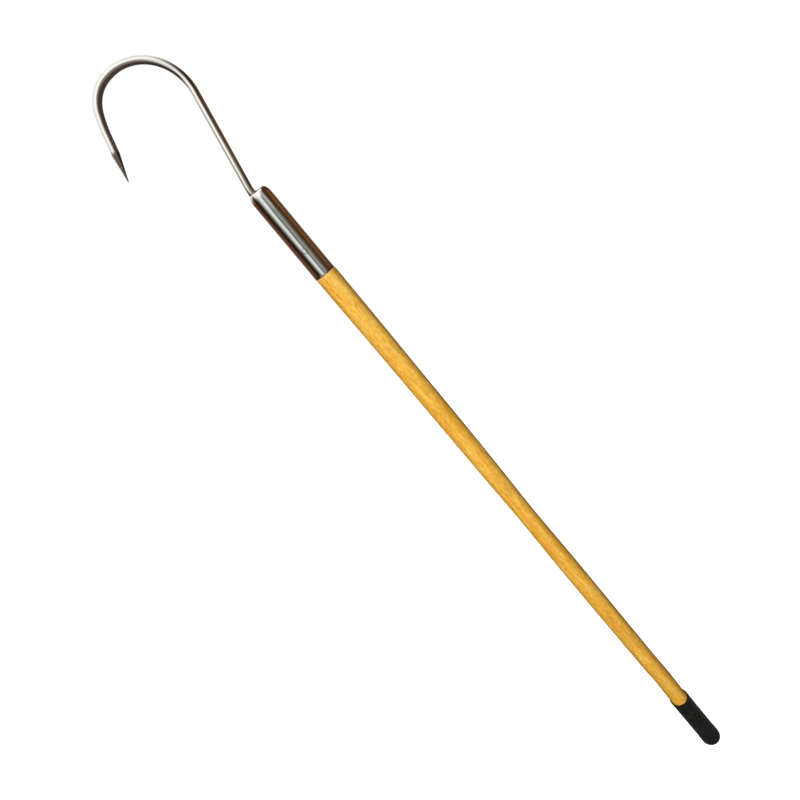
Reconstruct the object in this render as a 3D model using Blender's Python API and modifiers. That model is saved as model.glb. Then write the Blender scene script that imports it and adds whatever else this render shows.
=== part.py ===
"""Gaff-type boat hook: a round steel hook on a varnished wooden pole with a rubber end cap.

It stands upright on the butt of its cap. The origin is the centre of the butt face, +Z runs
up the pole to the hook, and the hook lies in the XZ plane with its point towards -X.
"""
from math import asin, cos, pi, radians, sin, sqrt

import bmesh
import bpy
from mathutils import Vector

MM = 0.001
GAP = 0.3 * MM                       # between any two pieces

# Pole
POLE_RADIUS = 12.7 * MM              # one inch dowel
SHOULDER_Z = 936.2 * MM              # where the full diameter ends and the ferrule starts
POLE_BOTTOM_Z = 9.0 * MM
TENON_RADIUS = 10.3 * MM
TENON_TOP_Z = 1031.0 * MM
POLE_CHAMFER = 1.2 * MM
SHOULDER_ROUND = 0.9 * MM

# Rubber cap
CAP_LENGTH = 115.7 * MM
CAP_RADIUS = 14.5 * MM
CAP_BORE_RADIUS = POLE_RADIUS + GAP
CAP_BUTT_RADIUS = 6.0 * MM           # flat face that the part stands on
CAP_DOME_HEIGHT = 6.5 * MM
CAP_BAND_Z = 19.7 * MM
CAP_BAND_HEIGHT = 3.0 * MM
CAP_BAND_RELIEF = 0.35 * MM
CAP_LIP_ROUND = 0.6 * MM

# Ferrule
FERRULE_BOTTOM_Z = SHOULDER_Z + GAP
FERRULE_TOP_Z = 1041.7 * MM
FERRULE_BOTTOM_RADIUS = 12.0 * MM
FERRULE_NECK_RADIUS = 11.4 * MM
FERRULE_SHOULDER_RISE = 9.8 * MM
FERRULE_MOUTH_RADIUS = 8.5 * MM      # edge of the flat top
FERRULE_WALL = 0.7 * MM
FERRULE_EDGE = 0.5 * MM
END_PLATE_THICKNESS = 2.0 * MM

# Hook
ROD_RADIUS = 4.0 * MM
TANG_X = -5.4 * MM
TANG_BOTTOM_Z = 976.0 * MM
SET_BEND_Z = 1038.7 * MM             # where the tang starts to lean out
SET_BEND_RADIUS = 60.0 * MM
SHANK_LEAN = radians(11.7)
SHANK_LENGTH = 94.3 * MM
HOOK_BENDS = (                       # degrees turned and radius, from the shank to the leg
    (72.7, 46.9 * MM),
    (39.0, 51.4 * MM),
    (50.3, 36.2 * MM),
    (9.9, 108.0 * MM),
)
BEND_FULLNESS = 0.5 * MM             # added to the rod's radius round the back of the bend
FULLEST_HEADING = radians(-120.0)
FULLNESS_SPREAD = radians(40.0)
POINT_LEG_LENGTH = 44.6 * MM
POINT_LENGTH = 28.0 * MM             # the ground taper at the end of the leg
POINT_TIP_RADIUS = 0.7 * MM
WELD_RADIUS = 0.8 * MM
WELD_HALF_SWEEP = radians(95.0)

# Bedding around the tang
BEDDING_WALL = 0.9 * MM
BEDDING_BOTTOM_Z = 973.5 * MM
BEDDING_TOP_Z = 1030.5 * MM

# Fastenings
RIVET_Z = 967.8 * MM
RIVET_X = -2.0 * MM
RIVET_RADIUS = 1.6 * MM
RIVET_HEAD_RADIUS = 2.9 * MM
RIVET_HEAD_HEIGHT = 0.5 * MM
TACK_Z = 82.8 * MM
TACK_X = 2.5 * MM
TACK_RADIUS = 0.6 * MM
TACK_HEAD_RADIUS = 1.7 * MM
TACK_HEAD_THICKNESS = 0.5 * MM
TACK_SUNK = 0.45 * MM                # the head sits this far below the rubber
TACK_LENGTH = 11.0 * MM

ROUND = 48                           # facets around the pole, cap and ferrule
HOOK_ARC_STEP = radians(6.0)


# ---------------------------------------------------------------- scene helpers

def clear_scene():
    for item in list(bpy.data.objects):
        bpy.data.objects.remove(item, do_unlink=True)


def new_collection(name):
    collection = bpy.data.collections.new(name)
    bpy.context.scene.collection.children.link(collection)
    return collection


def material(name, colour, roughness, metallic=0.0):
    result = bpy.data.materials.new(name)
    result.use_nodes = True
    surface = result.node_tree.nodes["Principled BSDF"]
    surface.inputs["Base Color"].default_value = (*colour, 1.0)
    surface.inputs["Roughness"].default_value = roughness
    surface.inputs["Metallic"].default_value = metallic
    return result


def add_mesh(name, build, collection, surface=None):
    """A mesh object whose bmesh is filled by build(bm)."""
    mesh = bpy.data.meshes.new(name)
    bm = bmesh.new()
    build(bm)
    bm.to_mesh(mesh)
    bm.free()
    item = bpy.data.objects.new(name, mesh)
    collection.objects.link(item)
    if surface:
        mesh.materials.append(surface)
        mesh.shade_smooth()
        mesh.set_sharp_from_angle(angle=radians(35.0))
    return item


def turned(name, profile, collection, surface=None, steps=ROUND):
    """A solid of revolution about Z from (radius, z) points, top to bottom down its outer side."""
    def build(bm):
        points = [bm.verts.new((radius, 0.0, z)) for radius, z in profile]
        for first, second in zip(points, points[1:]):
            bm.edges.new((first, second))
    item = add_mesh(name, build, collection, surface)
    screw = item.modifiers.new("Turn", "SCREW")
    screw.steps = steps
    screw.render_steps = steps
    screw.use_merge_vertices = True
    screw.merge_threshold = 0.00001
    screw.use_smooth_shade = True
    return item


def cut(item, cutter, operation="DIFFERENCE"):
    boolean = item.modifiers.new(operation.title(), "BOOLEAN")
    boolean.operation = operation
    boolean.solver = "EXACT"
    boolean.object = cutter


def as_cutter(item):
    item.hide_render = True
    item.display_type = "WIRE"
    return item


def cylinder_cutter(name, radius, start, end, collection, segments=24):
    """A cylinder between two points, used only to cut."""
    start = Vector(start)
    axis = Vector(end) - start

    def build(bm):
        bmesh.ops.create_cone(bm, cap_ends=True, segments=segments,
                              radius1=radius, radius2=radius, depth=axis.length)
    item = add_mesh(name, build, collection)
    item.location = start + axis / 2
    item.rotation_mode = "QUATERNION"
    item.rotation_quaternion = axis.to_track_quat("Z", "Y")
    return as_cutter(item)


def arc(centre, radius, start, end, count):
    """Points of an arc in (radius, z) or (x, z), angles from the first axis."""
    angles = [start + (end - start) * i / count for i in range(count + 1)]
    return [(centre[0] + radius * cos(a), centre[1] + radius * sin(a)) for a in angles]


# ---------------------------------------------------------------- hook centreline

class Route:
    """A path in the XZ plane, walked with straight runs and bends; heading 0 is +Z."""

    def __init__(self, x, z):
        self.x = x
        self.z = z
        self.heading = 0.0
        self.points = [(x, z)]
        self.radii = [rod_radius(0.0)]

    def mark(self):
        self.points.append((self.x, self.z))
        self.radii.append(rod_radius(self.heading))

    def straight(self, length):
        self.x += length * sin(self.heading)
        self.z += length * cos(self.heading)
        self.mark()

    def bend(self, angle, radius):
        """Turn by angle, positive towards +X."""
        side = 1.0 if angle > 0.0 else -1.0
        count = max(2, round(abs(angle) / HOOK_ARC_STEP))
        centre_x = self.x + side * radius * cos(self.heading)
        centre_z = self.z - side * radius * sin(self.heading)
        start = self.heading
        for i in range(1, count + 1):
            self.heading = start + angle * i / count
            self.x = centre_x - side * radius * cos(self.heading)
            self.z = centre_z + side * radius * sin(self.heading)
            self.mark()


def rod_radius(heading):
    """The rod's radius, which is fuller where it was hammered over at the back of the bend."""
    away = min(1.0, abs(heading - FULLEST_HEADING) / FULLNESS_SPREAD)
    return ROD_RADIUS + BEND_FULLNESS * (1.0 - away ** 4)


def hook_route():
    """The rod's centreline from the end of the tang to the tip of the point."""
    route = Route(TANG_X, TANG_BOTTOM_Z)
    route.straight(SET_BEND_Z - TANG_BOTTOM_Z)
    route.bend(SHANK_LEAN, SET_BEND_RADIUS)
    route.straight(SHANK_LENGTH)
    for degrees, radius in HOOK_BENDS:
        route.bend(-radians(degrees), radius)
    route.straight(POINT_LEG_LENGTH - POINT_LENGTH)
    route.straight(POINT_LENGTH)
    return route


def shank_x(z):
    """Where the rod's centreline is, at a height in the set bend or the shank above it."""
    set_x = TANG_X + SET_BEND_RADIUS * (1.0 - cos(SHANK_LEAN))
    set_z = SET_BEND_Z + SET_BEND_RADIUS * sin(SHANK_LEAN)
    if z < set_z:
        return TANG_X + SET_BEND_RADIUS - sqrt(SET_BEND_RADIUS ** 2 - (z - SET_BEND_Z) ** 2)
    return set_x + (z - set_z) * sin(SHANK_LEAN) / cos(SHANK_LEAN)


def rod(name, points, radii, collection, surface=None, resolution=4):
    """A round rod along (x, z) points, each with its own radius, as a closed mesh."""
    curve = bpy.data.curves.new(name + "_line", "CURVE")
    curve.dimensions = "3D"
    curve.bevel_depth = 1.0
    curve.bevel_resolution = resolution
    curve.use_fill_caps = True
    spline = curve.splines.new("POLY")
    spline.points.add(len(points) - 1)
    for point, (x, z), radius in zip(spline.points, points, radii):
        point.co = (x, 0.0, z, 1.0)
        point.radius = radius
    line = bpy.data.objects.new(name + "_line", curve)
    collection.objects.link(line)
    graph = bpy.context.evaluated_depsgraph_get()
    mesh = bpy.data.meshes.new_from_object(line.evaluated_get(graph))
    bpy.data.objects.remove(line, do_unlink=True)
    bm = bmesh.new()
    bm.from_mesh(mesh)
    bmesh.ops.remove_doubles(bm, verts=bm.verts, dist=0.00001)
    bm.to_mesh(mesh)
    bm.free()
    mesh.name = name
    item = bpy.data.objects.new(name, mesh)
    collection.objects.link(item)
    if surface:
        mesh.materials.clear()
        mesh.materials.append(surface)
        mesh.shade_smooth()
        mesh.set_sharp_from_angle(angle=radians(35.0))
    return item


# ---------------------------------------------------------------- pieces

def make_hook(collection, steel):
    route = hook_route()
    route.radii[-1] = POINT_TIP_RADIUS
    return rod("hook", route.points, route.radii, collection, steel)


def make_hook_clearance(collection):
    """The rod's path through the ferrule top, one gap wider than the rod."""
    above = Route(TANG_X, TANG_BOTTOM_Z - GAP)
    above.straight(SET_BEND_Z - TANG_BOTTOM_Z + GAP)
    above.bend(SHANK_LEAN, SET_BEND_RADIUS)
    above.straight(20.0 * MM)
    radii = [ROD_RADIUS + GAP] * len(above.points)
    return as_cutter(rod("hook_clearance", above.points, radii, collection))


def ferrule_shoulder(inset, count):
    """The ferrule's convex shoulder from its mouth down to the neck, moved inwards by inset."""
    narrowing = FERRULE_NECK_RADIUS - FERRULE_MOUTH_RADIUS
    bow = (FERRULE_SHOULDER_RISE ** 2 + narrowing ** 2) / (2.0 * narrowing)
    centre = (FERRULE_NECK_RADIUS - bow, FERRULE_TOP_Z - FERRULE_SHOULDER_RISE)
    return arc(centre, bow - inset, asin(FERRULE_SHOULDER_RISE / bow), 0.0, count)


def make_ferrule(collection, steel, clearance, rivet_hole):
    outside = ferrule_shoulder(0.0, 8)
    inside = ferrule_shoulder(FERRULE_WALL, 4)
    mouth = FERRULE_MOUTH_RADIUS - FERRULE_WALL
    profile = [(mouth, FERRULE_TOP_Z), (FERRULE_MOUTH_RADIUS - FERRULE_EDGE, FERRULE_TOP_Z)]
    profile += outside[1:]
    profile += [(FERRULE_BOTTOM_RADIUS, FERRULE_BOTTOM_Z + FERRULE_EDGE),
                (FERRULE_BOTTOM_RADIUS - FERRULE_EDGE, FERRULE_BOTTOM_Z),
                (FERRULE_BOTTOM_RADIUS - FERRULE_WALL, FERRULE_BOTTOM_Z)]
    profile += [point for point in reversed(inside) if point[0] > mouth + 0.1 * MM]
    profile += [(mouth, FERRULE_TOP_Z - END_PLATE_THICKNESS), profile[0]]
    ferrule = turned("ferrule_tube", profile, collection, steel)
    cut(ferrule, clearance)
    cut(ferrule, rivet_hole)
    return ferrule


def make_end_plate(collection, steel, clearance):
    radius = FERRULE_MOUTH_RADIUS - FERRULE_WALL - GAP
    bottom = FERRULE_TOP_Z - END_PLATE_THICKNESS
    profile = [(0.0, FERRULE_TOP_Z), (radius, FERRULE_TOP_Z), (radius, bottom), (0.0, bottom)]
    plate = turned("ferrule_end_plate", profile, collection, steel)
    cut(plate, clearance)
    return plate


def make_weld(collection, steel):
    """A fillet on the flat top, round the side of the shank that stands on it."""
    height = FERRULE_TOP_Z + GAP + WELD_RADIUS
    leaning_radius = ROD_RADIUS / cos(SHANK_LEAN)
    ring = leaning_radius + GAP + WELD_RADIUS
    curve = bpy.data.curves.new("hook_weld_bead", "CURVE")
    curve.dimensions = "3D"
    curve.bevel_depth = WELD_RADIUS
    curve.bevel_resolution = 2
    curve.use_fill_caps = True
    count = 16
    spline = curve.splines.new("POLY")
    spline.points.add(count)
    for i, point in enumerate(spline.points):
        angle = WELD_HALF_SWEEP * (2.0 * i / count - 1.0)
        point.co = (ring * cos(angle), ring * sin(angle), 0.0, 1.0)
    bead = bpy.data.objects.new("hook_weld_bead", curve)
    bead.location = (shank_x(height), 0.0, height)
    collection.objects.link(bead)
    curve.materials.append(steel)
    return bead


def make_pole(collection, wood, cutters):
    """The pole: full diameter to the shoulder, then a tenon that fills the ferrule."""
    profile = [
        (0.0, TENON_TOP_Z),
        (TENON_RADIUS - POLE_CHAMFER, TENON_TOP_Z),
        (TENON_RADIUS, TENON_TOP_Z - POLE_CHAMFER),
        (TENON_RADIUS, SHOULDER_Z),
        (POLE_RADIUS - SHOULDER_ROUND, SHOULDER_Z),
    ]
    corner = (POLE_RADIUS - SHOULDER_ROUND, SHOULDER_Z - SHOULDER_ROUND)
    profile += arc(corner, SHOULDER_ROUND, pi / 2, 0.0, 3)[1:]
    profile += [
        (POLE_RADIUS, POLE_BOTTOM_Z + POLE_CHAMFER),
        (POLE_RADIUS - POLE_CHAMFER, POLE_BOTTOM_Z),
        (0.0, POLE_BOTTOM_Z),
    ]
    pole = turned("wooden_pole", profile, collection, wood)
    for cutter in cutters:
        cut(pole, cutter)
    return pole


def channel(name, half_width, bottom, top, collection):
    """A U-shaped channel round the tang, open towards -X."""
    reach = TENON_RADIUS + 2.0 * MM

    def build(bm):
        ring = [(TANG_X + half_width * cos(a), half_width * sin(a))
                for a in (pi / 2 - pi * i / 12 for i in range(13))]
        outline = [(-reach, half_width)] + ring + [(-reach, -half_width)]
        face = bm.faces.new([bm.verts.new((x, y, bottom)) for x, y in outline])
        side = bmesh.ops.extrude_face_region(bm, geom=[face])
        moved = [v for v in side["geom"] if isinstance(v, bmesh.types.BMVert)]
        bmesh.ops.translate(bm, verts=moved, vec=(0.0, 0.0, top - bottom))
        bmesh.ops.recalc_face_normals(bm, faces=bm.faces)
    return as_cutter(add_mesh(name, build, collection))


def make_bedding(collection, resin, outer_channel, inner_channel):
    """Resin between the tang and the groove it lies in, flush with the tenon's round side."""
    profile = [(0.0, BEDDING_TOP_Z), (TENON_RADIUS, BEDDING_TOP_Z),
               (TENON_RADIUS, BEDDING_BOTTOM_Z), (0.0, BEDDING_BOTTOM_Z)]
    bedding = turned("tang_bedding", profile, collection, resin)
    cut(bedding, outer_channel, "INTERSECT")
    cut(bedding, inner_channel)
    return bedding


def make_cap(collection, rubber, tack_hole):
    """A push-on cap with a domed end, a flat butt and a low band near the butt."""
    corner = CAP_RADIUS - CAP_BUTT_RADIUS
    band = CAP_RADIUS + CAP_BAND_RELIEF
    lip = (CAP_RADIUS - CAP_LIP_ROUND, CAP_LENGTH - CAP_LIP_ROUND)
    profile = [(CAP_BORE_RADIUS, CAP_LENGTH)]
    profile += arc(lip, CAP_LIP_ROUND, pi / 2, 0.0, 3)
    profile += [(CAP_RADIUS, CAP_BAND_Z + CAP_BAND_HEIGHT),
                (band, CAP_BAND_Z + CAP_BAND_HEIGHT / 3),
                (band, CAP_BAND_Z - CAP_BAND_HEIGHT / 3),
                (CAP_RADIUS, CAP_BAND_Z - CAP_BAND_HEIGHT)]
    for i in range(9):
        angle = pi / 2 * i / 8
        profile.append((CAP_BUTT_RADIUS + corner * cos(angle),
                        CAP_DOME_HEIGHT * (1.0 - sin(angle))))
    floor = POLE_BOTTOM_Z - GAP
    profile += [(0.0, 0.0), (0.0, floor), (CAP_BORE_RADIUS - POLE_CHAMFER, floor),
                (CAP_BORE_RADIUS, floor + POLE_CHAMFER), profile[0]]
    cap = turned("rubber_end_cap", profile, collection, rubber)
    cut(cap, tack_hole)
    return cap


def make_rivet(collection, steel):
    """One rivet through ferrule and tenon, with a domed head at each end, along Y."""
    seat = ferrule_radius(RIVET_Z) + GAP
    end = seat + RIVET_HEAD_HEIGHT
    dome = [(0.0, end), (RIVET_HEAD_RADIUS * 0.45, end - RIVET_HEAD_HEIGHT * 0.12),
            (RIVET_HEAD_RADIUS * 0.8, end - RIVET_HEAD_HEIGHT * 0.42),
            (RIVET_HEAD_RADIUS, seat + RIVET_HEAD_HEIGHT * 0.2),
            (RIVET_HEAD_RADIUS, seat), (RIVET_RADIUS, seat)]
    profile = dome + [(radius, -z) for radius, z in reversed(dome)]
    rivet = turned("ferrule_rivet", profile, collection, steel, steps=24)
    rivet.location = (RIVET_X, 0.0, RIVET_Z)
    rivet.rotation_euler = (pi / 2, 0.0, 0.0)
    return rivet


def ferrule_radius(z):
    """Outer radius of the ferrule's tapering body at a height."""
    neck_z = FERRULE_TOP_Z - FERRULE_SHOULDER_RISE
    share = (z - FERRULE_BOTTOM_Z) / (neck_z - FERRULE_BOTTOM_Z)
    return FERRULE_BOTTOM_RADIUS + (FERRULE_NECK_RADIUS - FERRULE_BOTTOM_RADIUS) * share


def make_tack(collection, steel):
    """A tack through the cap's wall into the pole, on the -Y side, sunk in the rubber."""
    head = sqrt(CAP_RADIUS ** 2 - TACK_X ** 2) - TACK_SUNK
    profile = [
        (0.0, head),
        (TACK_HEAD_RADIUS, head),
        (TACK_HEAD_RADIUS, head - TACK_HEAD_THICKNESS),
        (TACK_RADIUS, head - TACK_HEAD_THICKNESS),
        (TACK_RADIUS, head - TACK_LENGTH + 2.0 * MM),
        (0.0, head - TACK_LENGTH),
    ]
    tack = turned("cap_tack", profile, collection, steel, steps=16)
    tack.location = (TACK_X, 0.0, TACK_Z)
    tack.rotation_euler = (pi / 2, 0.0, 0.0)
    return tack


def tack_holes(cutters):
    """The hole in the cap, wide for the head outside, and the hole in the pole."""
    head = sqrt(CAP_RADIUS ** 2 - TACK_X ** 2) - TACK_SUNK - TACK_HEAD_THICKNESS - GAP
    end = head + TACK_HEAD_THICKNESS - TACK_LENGTH
    wide = TACK_HEAD_RADIUS + GAP
    narrow = TACK_RADIUS + GAP
    outside = CAP_RADIUS + 2.0 * MM
    recess = cylinder_cutter("tack_head_recess", wide, (TACK_X, -head, TACK_Z),
                             (TACK_X, -outside, TACK_Z), cutters)
    hole = cylinder_cutter("tack_hole", narrow, (TACK_X, -end + GAP, TACK_Z),
                           (TACK_X, -outside, TACK_Z), cutters, 16)
    return recess, hole


def build():
    clear_scene()
    parts = new_collection("boat_hook")
    cutters = new_collection("boat_hook_cutters")

    polished = material("polished_steel", (0.62, 0.60, 0.57), 0.12, 1.0)
    weld = material("weld_metal", (0.42, 0.40, 0.38), 0.35, 1.0)
    varnished = material("varnished_wood", (0.83, 0.52, 0.13), 0.28)
    rubber = material("black_rubber", (0.02, 0.02, 0.02), 0.8)
    resin = material("bedding_resin", (0.55, 0.42, 0.2), 0.5)
    tack_steel = material("tack_steel", (0.12, 0.12, 0.12), 0.5, 1.0)

    clearance = make_hook_clearance(cutters)
    rivet_reach = POLE_RADIUS + 5.0 * MM
    rivet_hole = cylinder_cutter("rivet_hole", RIVET_RADIUS + GAP, (RIVET_X, -rivet_reach, RIVET_Z),
                                 (RIVET_X, rivet_reach, RIVET_Z), cutters)
    groove_width = ROD_RADIUS + GAP + BEDDING_WALL
    groove = channel("tang_groove", groove_width + GAP, BEDDING_BOTTOM_Z - GAP,
                     TENON_TOP_Z + 1.0 * MM, cutters)
    bedding_outside = channel("bedding_outside", groove_width, BEDDING_BOTTOM_Z - 5.0 * MM,
                              TENON_TOP_Z, cutters)
    bedding_inside = channel("bedding_inside", ROD_RADIUS + GAP, TANG_BOTTOM_Z - GAP,
                             TENON_TOP_Z + 2.0 * MM, cutters)
    recess, tack_hole = tack_holes(cutters)

    make_hook(parts, polished)
    make_weld(parts, weld)
    make_ferrule(parts, polished, clearance, rivet_hole)
    make_end_plate(parts, polished, clearance)
    make_rivet(parts, polished)
    make_pole(parts, varnished, (groove, rivet_hole, tack_hole))
    make_bedding(parts, resin, bedding_outside, bedding_inside)
    cap = make_cap(parts, rubber, tack_hole)
    cut(cap, recess)
    make_tack(parts, tack_steel)


build()
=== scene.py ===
"""Looks for the boat hook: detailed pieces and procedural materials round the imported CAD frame."""
from math import copysign, cos, exp, hypot, pi, radians, sin, sqrt

import bmesh
import bpy
from mathutils import Matrix, Vector


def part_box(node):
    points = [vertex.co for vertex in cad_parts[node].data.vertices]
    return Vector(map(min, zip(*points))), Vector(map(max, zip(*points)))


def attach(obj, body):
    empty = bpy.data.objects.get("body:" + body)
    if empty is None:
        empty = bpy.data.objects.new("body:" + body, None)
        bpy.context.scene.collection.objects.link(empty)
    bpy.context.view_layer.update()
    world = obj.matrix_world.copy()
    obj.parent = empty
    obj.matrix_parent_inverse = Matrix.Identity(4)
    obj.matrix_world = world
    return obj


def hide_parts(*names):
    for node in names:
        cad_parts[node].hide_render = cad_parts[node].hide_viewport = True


MM = 0.001

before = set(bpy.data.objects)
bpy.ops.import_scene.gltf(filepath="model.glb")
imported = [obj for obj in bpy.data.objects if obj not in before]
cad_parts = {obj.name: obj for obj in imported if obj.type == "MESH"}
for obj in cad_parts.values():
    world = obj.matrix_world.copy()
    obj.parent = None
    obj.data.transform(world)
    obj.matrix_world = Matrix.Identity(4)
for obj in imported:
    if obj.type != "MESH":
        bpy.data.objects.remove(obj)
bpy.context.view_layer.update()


# ---------------------------------------------------------------- sizes

# From the frame
POLE_LOW, POLE_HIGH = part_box("wooden_pole")
CAP_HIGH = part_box("rubber_end_cap")[1]
FERRULE_LOW, FERRULE_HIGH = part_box("ferrule_tube")
HOOK_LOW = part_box("hook")[0]
RIVET_LOW, RIVET_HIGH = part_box("ferrule_rivet")
TACK_LOW, TACK_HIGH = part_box("cap_tack")
PLATE_LOW, PLATE_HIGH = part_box("ferrule_end_plate")

POLE_RADIUS = POLE_HIGH.x
CAP_FOOT_RADIUS = CAP_HIGH.x
CAP_TOP = CAP_HIGH.z
FERRULE_BOTTOM = FERRULE_LOW.z
FERRULE_TOP = FERRULE_HIGH.z
FERRULE_BOTTOM_RADIUS = FERRULE_HIGH.x
SHOULDER_Z = FERRULE_BOTTOM - 0.3 * MM
RIVET_X = (RIVET_LOW.x + RIVET_HIGH.x) / 2.0
RIVET_Z = (RIVET_LOW.z + RIVET_HIGH.z) / 2.0
RIVET_RADIUS = (RIVET_HIGH.x - RIVET_LOW.x) / 2.0
TACK_X = (TACK_LOW.x + TACK_HIGH.x) / 2.0
TACK_Z = (TACK_LOW.z + TACK_HIGH.z) / 2.0
TACK_RADIUS = (TACK_HIGH.x - TACK_LOW.x) / 2.0
TACK_END = -TACK_LOW.y               # how far its head is in front of the pole's axis

# Repeated from the CAD script
ROD_RADIUS = 4.0 * MM
TANG_X = -5.4 * MM
TANG_BOTTOM_Z = HOOK_LOW.z
SET_BEND_Z = FERRULE_TOP - 3.0 * MM
SET_BEND_RADIUS = 60.0 * MM
SHANK_LEAN = radians(11.7)
SHANK_LENGTH = 94.3 * MM
HOOK_BENDS = (                       # degrees turned and radius, from the shank to the leg
    (72.7, 46.9 * MM),
    (39.0, 51.4 * MM),
    (50.3, 36.2 * MM),
    (9.9, 108.0 * MM),
)
BEND_FULLNESS = 0.5 * MM
FULLEST_HEADING = radians(-120.0)
FULLNESS_SPREAD = radians(40.0)
POINT_LEG_LENGTH = 44.6 * MM
POINT_LENGTH = 28.0 * MM
TIP_RADIUS = 0.7 * MM
FERRULE_NECK_RADIUS = 11.4 * MM
FERRULE_SHOULDER_RISE = 9.8 * MM
FERRULE_MOUTH_RADIUS = 8.5 * MM
FERRULE_WALL = 0.7 * MM
TENON_RADIUS = 10.3 * MM
TENON_TOP_Z = FERRULE_TOP - 10.7 * MM
CAP_RADIUS = 14.5 * MM
CAP_BUTT_RADIUS = 6.0 * MM
CAP_DOME_HEIGHT = 6.5 * MM
CAP_FOOT_HEIGHT = 20.0 * MM
WELD_RADIUS = 0.8 * MM
WELD_HALF_SWEEP = radians(95.0)

# Finer than in the CAD script
ROD_PLAY = 0.08 * MM                 # round the rod, where it passes through a piece
FACET_COUNT = 7
WELD_STEPS = 150
WELD_RIPPLES = 17.0
FERRULE_EDGE = 0.35 * MM
FERRULE_FOOT_HEIGHT = 2.0 * MM       # the straight part below the taper
SHOULDER_CURVE = 2.6
FRONT_DROP = 0.6 * MM                # how far the shoulder still falls in front and behind
FRONT_EDGE_DROP = 1.2 * MM
SIDE_BULGE = 0.8 * MM
RIDGE_HEIGHT = 0.22 * MM
RIDGE_LENGTH = 26.0 * MM
RIDGE_INNER_REACH = 2.7 * MM         # from its crest to its foot, towards the middle
RIDGE_OUTER_REACH = 1.5 * MM
RIVET_EDGE = 0.3 * MM
POLE_CORNER = 0.9 * MM
POLE_SLIMMING = (430.0 * MM, 35.0 * MM, 0.25 * MM)      # height, spread and depth
POLE_WAISTS = (                      # height, spread and depth
    (830.0 * MM, 70.0 * MM, 0.12 * MM),
    (545.0 * MM, 65.0 * MM, 1.05 * MM),
)
POLE_STRAYS = (                      # height, spread and distance towards +X
    (690.0 * MM, 130.0 * MM, 0.50 * MM),
    (835.0 * MM, 60.0 * MM, 0.24 * MM),
    (170.0 * MM, 26.0 * MM, 0.75 * MM),
)
POLE_START_Z = CAP_TOP - 20.0 * MM   # where the slimmed outline begins, hidden in the cap
CAP_LIP = 0.6 * MM
CAP_WAIST = CAP_RADIUS - 0.35 * MM   # just above the foot


# ---------------------------------------------------------------- mesh helpers

def mesh_object(name, bm, sharp_angle=40.0):
    mesh = bpy.data.meshes.new(name)
    bmesh.ops.recalc_face_normals(bm, faces=bm.faces)
    bm.to_mesh(mesh)
    bm.free()
    mesh.shade_smooth()
    mesh.set_sharp_from_angle(angle=radians(sharp_angle))
    item = bpy.data.objects.new(name, mesh)
    bpy.context.scene.collection.objects.link(item)
    return item


def turned(name, profile, segments=128, sharp_angle=40.0):
    """A solid of revolution about Z from (radius, z) points, the last of which meets the first."""
    bm = bmesh.new()
    rings = []
    for radius, z in profile:
        if radius < 1e-7:
            rings.append([bm.verts.new((0.0, 0.0, z))])
            continue
        angles = (2.0 * pi * i / segments for i in range(segments))
        rings.append([bm.verts.new((radius * cos(a), radius * sin(a), z)) for a in angles])
    for lower, upper in zip(rings, rings[1:] + rings[:1]):
        bridge(bm, lower, upper)
    return mesh_object(name, bm, sharp_angle)


def bridge(bm, first, second):
    """Faces between two rings, or a ring and a point; two points get none."""
    count = max(len(first), len(second))
    for i in range(count):
        j = (i + 1) % count
        corners = []
        for ring, index in ((first, i), (first, j), (second, j), (second, i)):
            corner = ring[index % len(ring)]
            if corner not in corners:
                corners.append(corner)
        if len(corners) > 2:
            bm.faces.new(corners)


def swept(name, stations, radius_at, segments=64, sharp_angle=40.0):
    """A solid along stations (point, side, up, distance, radius), shaped by radius_at.

    Each vertex keeps its place on the straightened rod in the attribute rod_place.
    """
    bm = bmesh.new()
    place = bm.verts.layers.float_vector.new("rod_place")
    rings = []
    for point, side, up, distance, round_radius in stations:
        ring = []
        for i in range(segments):
            angle = 2.0 * pi * i / segments
            radius = radius_at(angle, distance, round_radius)
            vert = bm.verts.new(point + radius * (cos(angle) * side + sin(angle) * up))
            vert[place] = (radius * cos(angle), radius * sin(angle), distance)
            ring.append(vert)
        rings.append(ring)
    for lower, upper in zip(rings, rings[1:]):
        bridge(bm, lower, upper)
    for ring, station in ((rings[0], stations[0]), (rings[-1], stations[-1])):
        centre = bm.verts.new(station[0])
        centre[place] = (0.0, 0.0, station[3])
        bridge(bm, ring, [centre])
    return mesh_object(name, bm, sharp_angle)


def carve(item, cutter):
    """Cuts cutter out of item for good, and removes the cutter."""
    boolean = item.modifiers.new("Notch", "BOOLEAN")
    boolean.operation = "DIFFERENCE"
    boolean.solver = "EXACT"
    boolean.object = cutter
    graph = bpy.context.evaluated_depsgraph_get()
    mesh = bpy.data.meshes.new_from_object(item.evaluated_get(graph))
    item.modifiers.clear()
    item.data = mesh
    bpy.data.objects.remove(cutter, do_unlink=True)


def arc(centre, radius, start, end, count):
    """Points of (radius, z) round a corner, from one angle to another."""
    angles = (start + (end - start) * i / count for i in range(count + 1))
    return [(centre[0] + radius * cos(a), centre[1] + radius * sin(a)) for a in angles]


def rounded_corner(start, corner, end, count):
    """A smooth bend from start to end that leans into corner."""
    points = []
    for i in range(count + 1):
        t = i / count
        points.append(tuple((1 - t) ** 2 * a + 2 * t * (1 - t) * b + t ** 2 * c
                            for a, b, c in zip(start, corner, end)))
    return points


def stand_along_y(item, x, z):
    """Turns a piece made along Z to lie along Y, its top in front, through (x, z)."""
    item.data.transform(Matrix.Translation((x, 0.0, z)) @ Matrix.Rotation(pi / 2, 4, "X"))


# ---------------------------------------------------------------- hook

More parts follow.
